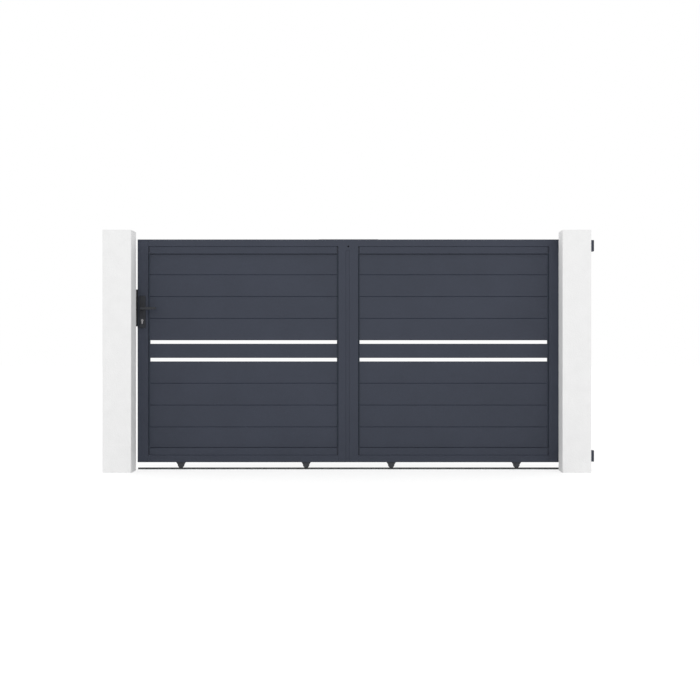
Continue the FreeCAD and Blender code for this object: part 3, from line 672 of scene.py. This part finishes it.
def place_anchors(name, places, across_flats):
    """Hexagon anchors in the masonry."""
    # A head of 13 mm across flats is 7 mm high, on a washer of 11 mm radius and 1.6 mm thickness
    shape = hexagon_head(height=7 / 13, washer_radius=11 / 13, washer_height=1.6 / 13)
    place_copies(name, "gateway", "galvanised_steel", shape, places, size=across_flats)


class GATE_OT_anchors(bpy.types.Operator):
    """Anchors of the lock keeper in the left pillar and of the upper guide in the right one"""
    bl_idname = "gate.anchors"
    bl_label = "Anchors"

    def execute(self, context):
        across_flats = context.scene.gate_fixings.anchor_flats
        low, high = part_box("lock_keeper")
        from_edge, foot_thickness = 20 * MM, 4 * MM
        height_shares = (0.12, 0.5, 0.88)
        places = [(Vector((low.x + from_edge, low.y + foot_thickness,
                           low.z + (high.z - low.z) * share)), FACE_BACK)
                  for share in height_shares]
        place_anchors("keeper_anchors", places, across_flats)

        low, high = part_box("guide_bracket")
        leg_thickness, from_edge, spacing = 6 * MM, 18 * MM, 50 * MM
        places = [(Vector((x, low.y + leg_thickness, z)), FACE_BACK)
                  for x in (low.x + from_edge, high.x - from_edge)
                  for z in (low.z + from_edge, low.z + from_edge + spacing)]
        place_anchors("guide_anchors", places, across_flats)
        return {"FINISHED"}


def hole_centre_x():
    """Middle of the screw hole in the joint block's front, from the hole's own corners."""
    low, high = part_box("joint_block")
    xs = [v.co.x for v in NODES["joint_block"].data.vertices
          if v.co.y < low.y + MM and low.x + MM < v.co.x < high.x - MM]
    if not xs:
        raise RuntimeError("the joint block has no screw hole")
    return (min(xs) + max(xs)) / 2


class GATE_OT_joint_screw(bpy.types.Operator):
    """Screw in the joint block above the mullions, near black and dull so that it draws the shade of its
    hole as painted shade
    """
    bl_idname = "gate.joint_screw"
    bl_label = "Joint screw"

    def execute(self, context):
        front_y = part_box("joint_block")[0].y
        # Set deep in the hole, so that its near-black head reads as the hole's shade
        recess = 5.8 * MM
        # The hole is as high as the lower edge of the top rail
        hole_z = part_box("top_rail_left")[0].z
        places = [(Vector((hole_centre_x(), front_y + recess, hole_z)), FACE_FRONT)]
        # A head of 5.4 mm radius is 2.4 mm high, with a socket of 2.4 mm radius and 1.6 mm depth
        shape = socket_screw(head_height=2.4 / 5.4, socket_radius=2.4 / 5.4, socket_depth=1.6 / 5.4)
        place_copies("joint_screw", "leaf", "black_nylon_painted_hole_shade", shape, places,
                     size=5.4 * MM)
        return {"FINISHED"}


class GATE_OT_bearing_shields(bpy.types.Operator):
    """Bearing shields on both sides of each wheel, turning with it"""
    bl_idname = "gate.bearing_shields"
    bl_label = "Bearing shields"

    def execute(self, context):
        bore, rim, bevel = 5.6 * MM, 10.4 * MM, 1.0 * MM
        inside_y, edge_y, outside_y = 0.6 * MM, -0.2 * MM, -0.5 * MM
        profile = [(bore, inside_y), (rim, inside_y), (rim, edge_y), (rim - bevel, outside_y),
                   (bore + bevel, outside_y), (bore, edge_y)]
        for number in WHEELS:
            name = "wheel_%d" % number
            low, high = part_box(name)
            places = both_sides(middle_of((low, high)), low.y, high.y)
            place_copies(name + "_shields", name, "moulded_rubber_and_painted_shade",
                         lathe(profile, steps=32), places)
        return {"FINISHED"}


def pale_floor(values):
    """Floor that the camera sees as white, with only a shadow on it."""
    shape = bmesh.new()
    bmesh.ops.create_grid(shape, x_segments=1, y_segments=1, size=values.floor_size / 2)
    made, tree = new_material("stage_floor")
    rays = add_node(tree, "ShaderNodeLightPath")
    matt = add_node(tree, "ShaderNodeBsdfDiffuse", {"Color": hex_to_linear("e9e9e9")})
    faint = add_node(tree, "ShaderNodeBsdfDiffuse", {"Color": hex_to_linear("a0a0a0")})
    lift = add_node(tree, "ShaderNodeEmission", {"Strength": FLOOR_LIFT})
    seen = add_node(tree, "ShaderNodeAddShader", {0: faint, 1: lift})
    mixed = add_node(tree, "ShaderNodeMixShader", {0: rays.outputs["Is Camera Ray"], 1: matt, 2: seen})
    add_node(tree, "ShaderNodeOutputMaterial", {"Surface": mixed})
    floor = mesh_object("stage_floor", shape)
    floor.data.materials.append(made)


def even_sky(values):
    """White surroundings for the camera and for mirror images, and an even light for the gate."""
    world = bpy.data.worlds.new("stage_world")
    bpy.context.scene.world = world
    world.use_nodes = True
    tree = world.node_tree
    tree.nodes.clear()
    rays = add_node(tree, "ShaderNodeLightPath").outputs
    either = add_node(tree, "ShaderNodeMath", {0: rays["Is Camera Ray"], 1: rays["Is Glossy Ray"]},
                      operation="MAXIMUM")
    seen = add_node(tree, "ShaderNodeMath", {0: either, 1: rays["Is Transmission Ray"]},
                    operation="MAXIMUM")
    even = add_node(tree, "ShaderNodeBackground", {"Color": WHITE, "Strength": values.sky_level})
    white = add_node(tree, "ShaderNodeBackground", {"Color": WHITE, "Strength": 1.0})
    mixed = add_node(tree, "ShaderNodeMixShader", {0: seen, 1: even, 2: white})
    add_node(tree, "ShaderNodeOutputWorld", {"Surface": mixed})


def soft_lamp(values):
    """One large square lamp high in front of the gate."""
    centre = middle_of(CAD_BOX)
    data = bpy.data.lights.new("front_lamp", "AREA")
    data.shape = "SQUARE"
    data.size = values.lamp_size
    data.energy = values.lamp_power
    lamp = link_object("front_lamp", data)
    lamp.location = centre + LAMP_OFFSET
    lamp.rotation_mode = "QUATERNION"
    lamp.rotation_quaternion = (centre - lamp.location).to_track_quat("-Z", "Y")


def street_camera(values):
    """Level camera that looks straight along +Y, with its lens shifted sideways."""
    data = bpy.data.cameras.new("street_camera")
    data.sensor_width = 36.0
    data.lens = values.lens
    data.shift_x = values.camera_shift
    data.clip_end = 200.0
    camera = link_object("street_camera", data)
    front_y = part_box("left_pillar")[0].y
    camera.location = Vector((values.camera_x, front_y - values.camera_distance, values.camera_height))
    camera.rotation_euler = (math.pi / 2, 0.0, 0.0)
    bpy.context.scene.camera = camera


class GATE_OT_stage(bpy.types.Operator):
    """Pale floor, soft light and the street-side camera"""
    bl_idname = "gate.stage"
    bl_label = "Stage"

    def execute(self, context):
        values = context.scene.gate_stage
        pale_floor(values)
        even_sky(values)
        soft_lamp(values)
        street_camera(values)
        return {"FINISHED"}


class GATE_PT_panel(bpy.types.Panel):
    """Lists the gate's operators and values"""
    bl_idname = "GATE_PT_panel"
    bl_label = "Sliding Gate"
    bl_space_type = "VIEW_3D"
    bl_region_type = "UI"
    bl_category = "Gate"

    def draw(self, context):
        column = self.layout.column(align=True)
        for operator in OPERATORS:
            column.operator(operator.bl_idname)
        for group in (context.scene.gate_finishes, context.scene.gate_fixings,
                      context.scene.gate_stage):
            values = self.layout.column(align=True)
            for name in type(group).__annotations__:
                values.prop(group, name)


GROUPS = {"gate_finishes": GateFinishes, "gate_fixings": GateFixings, "gate_stage": GateStage}
OPERATORS = (GATE_OT_finishes, GATE_OT_painted_shade_seals, GATE_OT_rail_screws, GATE_OT_lock_screws,
             GATE_OT_lever_collars, GATE_OT_anchors, GATE_OT_joint_screw, GATE_OT_bearing_shields,
             GATE_OT_stage)


def register():
    for group in GROUPS.values():
        bpy.utils.register_class(group)
    for name, group in GROUPS.items():
        setattr(bpy.types.Scene, name, PointerProperty(type=group))
    for operator in OPERATORS:
        bpy.utils.register_class(operator)
    bpy.utils.register_class(GATE_PT_panel)


def unregister():
    bpy.utils.unregister_class(GATE_PT_panel)
    for operator in reversed(OPERATORS):
        bpy.utils.unregister_class(operator)
    for name, group in GROUPS.items():
        delattr(bpy.types.Scene, name)
        bpy.utils.unregister_class(group)


def main():
    register()
    bpy.context.scene.view_settings.view_transform = "Standard"
    for operator in OPERATORS:
        category, _, call = operator.bl_idname.partition(".")
        getattr(getattr(bpy.ops, category), call)()


if __name__ == "__main__":
    main()
